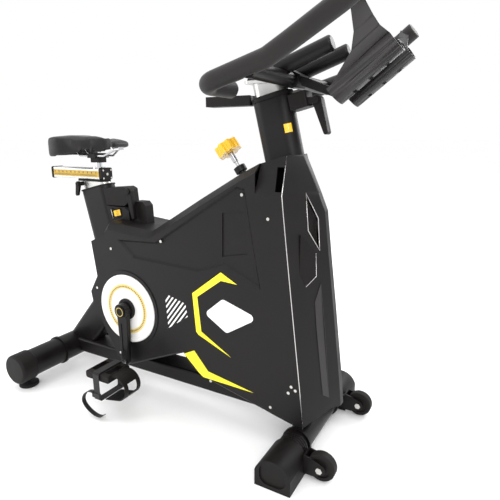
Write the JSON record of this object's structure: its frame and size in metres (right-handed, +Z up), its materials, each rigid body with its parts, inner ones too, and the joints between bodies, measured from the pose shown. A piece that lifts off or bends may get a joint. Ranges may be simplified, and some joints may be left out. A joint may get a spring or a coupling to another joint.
{
  "type": "exercise bike",
  "caption": "Indoor cycling bike: shrouded flywheel, belt drive, cranks with caged pedals, sliding saddle and handlebar posts, bottle tray, transport wheels.",
  "frame": {"origin": "on the floor, in the middle of the bounding box", "axes": "+X forwards, the way the rider faces; +Y to the rider's left; +Z up"},
  "size_m": [1.2052, 0.554, 1.1248],
  "materials": {
    "black_paint": "satin black powder coat",
    "black_plastic": "matte moulded",
    "foot_rubber": "moulded",
    "wheel_tyre": "moulded",
    "grip_foam": "soft dipped grip",
    "strap_web": "woven",
    "saddle_skin": "smooth vinyl",
    "bright_steel": "machined",
    "chrome": "polished",
    "bolt_zinc": "zinc plated",
    "post_aluminium": "satin anodised",
    "flywheel_iron": "turned",
    "sleeve_black": "satin",
    "knob_yellow": "moulded",
    "scale_yellow": "printed",
    "cap_gold": "gold ring",
    "cover_white": "printed",
    "decal_white": "vinyl film",
    "decal_yellow": "vinyl film"
  },
  "bodies": {
    "frame": {"base_frame": "black_paint", "stabilizers": "black_paint", "seat_sleeve": "black_paint", "head_sleeve": "black_paint", "inner_frame": "black_paint", "wheel_brackets": "black_paint", "frame_bolts": "bolt_zinc", "rear_boots": "black_plastic", "front_boots": "black_plastic", "shroud_right": "black_plastic", "shroud_left": "black_plastic", "shroud_front": "black_plastic", "post_bushes": "black_plastic", "seat_clamp": "black_plastic", "head_clamp": "black_plastic", "rear_bracket": "black_plastic", "post_cover": "black_plastic", "axle_parts": "bright_steel", "rod_sleeve": "sleeve_black", "crank_covers": "cover_white", "decals_white": "decal_white", "decals_yellow": "decal_yellow", "drive_belt": "foot_rubber"},
    "left_levelling_foot": {"levelling_foot_left": "foot_rubber"},
    "right_levelling_foot": {"levelling_foot_right": "foot_rubber"},
    "left_transport_wheel": {"transport_wheel_left": "wheel_tyre"},
    "right_transport_wheel": {"transport_wheel_right": "wheel_tyre"},
    "crank": {"crank_axle": "bright_steel", "crank_arm_right": "black_paint", "crank_arm_left": "black_paint", "crank_caps": "cap_gold", "drive_pulley": "post_aluminium"},
    "right_pedal": {"pedal_right": "black_plastic", "pedal_strap_right": "strap_web"},
    "left_pedal": {"pedal_left": "black_plastic", "pedal_strap_left": "strap_web"},
    "flywheel": {"flywheel": "flywheel_iron", "flywheel_hub": "bright_steel"},
    "brake": {"brake_arm": "black_paint"},
    "plunger": {"push_rod": "bright_steel"},
    "knob": {"resistance_knob": "knob_yellow"},
    "seat_post": {"seat_post": "post_aluminium", "seat_carriage": "black_plastic"},
    "seat_slider": {"seat_slider": "post_aluminium", "slider_scales": "scale_yellow", "slider_ends": "black_plastic", "slider_bolts": "bolt_zinc", "seat_pin": "chrome"},
    "saddle": {"saddle_clamp": "black_plastic", "saddle_rails": "bright_steel", "saddle_pad": "saddle_skin"},
    "seat_lever": {"seat_lever": "black_plastic"},
    "head_lever": {"head_lever": "black_plastic"},
    "slider_lever": {"slider_lever": "black_plastic"},
    "handlebar": {"handlebar_post": "post_aluminium", "bar_stem": "black_paint", "handlebar_cross": "black_paint", "handlebar_arms": "grip_foam", "console_tray": "black_plastic"}
  },
  "joints": [
    {"name": "flywheel_spin", "type": "hinge", "parent": "frame", "child": "flywheel", "pos_m": [0.1449, 0, 0.35], "axis": [0, 1, 0], "continuous": true},
    {"name": "crank_spin", "type": "hinge", "parent": "frame", "child": "crank", "pos_m": [-0.1866, 0, 0.311], "axis": [0, 1, 0], "continuous": true},
    {"name": "right_pedal_spin", "type": "hinge", "parent": "crank", "child": "right_pedal", "pos_m": [-0.1866, -0.2, 0.141], "axis": [0, 1, 0], "continuous": true},
    {"name": "left_pedal_spin", "type": "hinge", "parent": "crank", "child": "left_pedal", "pos_m": [-0.1866, 0.2, 0.481], "axis": [0, 1, 0], "continuous": true},
    {"name": "right_wheel_spin", "type": "hinge", "parent": "frame", "child": "right_transport_wheel", "pos_m": [0.4964, -0.162, 0.0395], "axis": [0, 1, 0], "continuous": true},
    {"name": "left_wheel_spin", "type": "hinge", "parent": "frame", "child": "left_transport_wheel", "pos_m": [0.4964, 0.162, 0.0395], "axis": [0, 1, 0], "continuous": true},
    {"name": "right_foot_turn", "type": "hinge", "parent": "frame", "child": "right_levelling_foot", "pos_m": [-0.5601, -0.224, 0.02], "axis": [0, 0, 1], "continuous": true},
    {"name": "left_foot_turn", "type": "hinge", "parent": "frame", "child": "left_levelling_foot", "pos_m": [-0.5601, 0.224, 0.02], "axis": [0, 0, 1], "continuous": true},
    {"name": "seat_height", "type": "slide", "parent": "frame", "child": "seat_post", "axis": [-0.2368, 0, 0.9715], "range_m": [0, 0.15]},
    {"name": "seat_fore_aft", "type": "slide", "parent": "seat_post", "child": "seat_slider", "axis": [1, 0, 0], "range_m": [-0.04, 0.05]},
    {"name": "saddle_swivel", "type": "hinge", "parent": "seat_slider", "child": "saddle", "pos_m": [-0.3781, 0, 0.77], "axis": [0, 0, 1], "range_deg": [-12, 12]},
    {"name": "handlebar_height", "type": "slide", "parent": "frame", "child": "handlebar", "axis": [-0.2368, 0, 0.9715], "range_m": [0, 0.15]},
    {"name": "seat_lever_turn", "type": "hinge", "parent": "frame", "child": "seat_lever", "pos_m": [-0.2181, -0.032, 0.672], "axis": [0, -1, 0], "range_deg": [0, 60]},
    {"name": "head_lever_turn", "type": "hinge", "parent": "frame", "child": "head_lever", "pos_m": [0.3919, 0, 0.925], "axis": [0, -1, 0], "range_deg": [0, 60]},
    {"name": "slider_lever_turn", "type": "hinge", "parent": "seat_post", "child": "slider_lever", "pos_m": [-0.4401, -0.038, 0.686], "axis": [0, 1, 0], "range_deg": [0, 60]},
    {"name": "brake_push", "type": "slide", "parent": "frame", "child": "plunger", "axis": [0.585, 0, -0.811], "range_m": [0, 0.008], "stiffness_N_per_m": 600},
    {"name": "knob_turn", "type": "hinge", "parent": "plunger", "child": "knob", "pos_m": [0.12937, 0, 0.80772], "axis": [-0.585, 0, 0.811], "range_deg": [-720, 720]},
    {"name": "brake_swing", "type": "hinge", "parent": "frame", "child": "brake", "pos_m": [0.1499, 0, 0.56], "axis": [0, 1, 0], "range_deg": [0, 5]}
  ],
  "couplings": [
    {"joint": "crank_spin", "follows": "flywheel_spin", "ratio": 0.35252},
    {"joint": "brake_swing", "follows": "brake_push", "rad_per_m": 7.6}
  ]
}
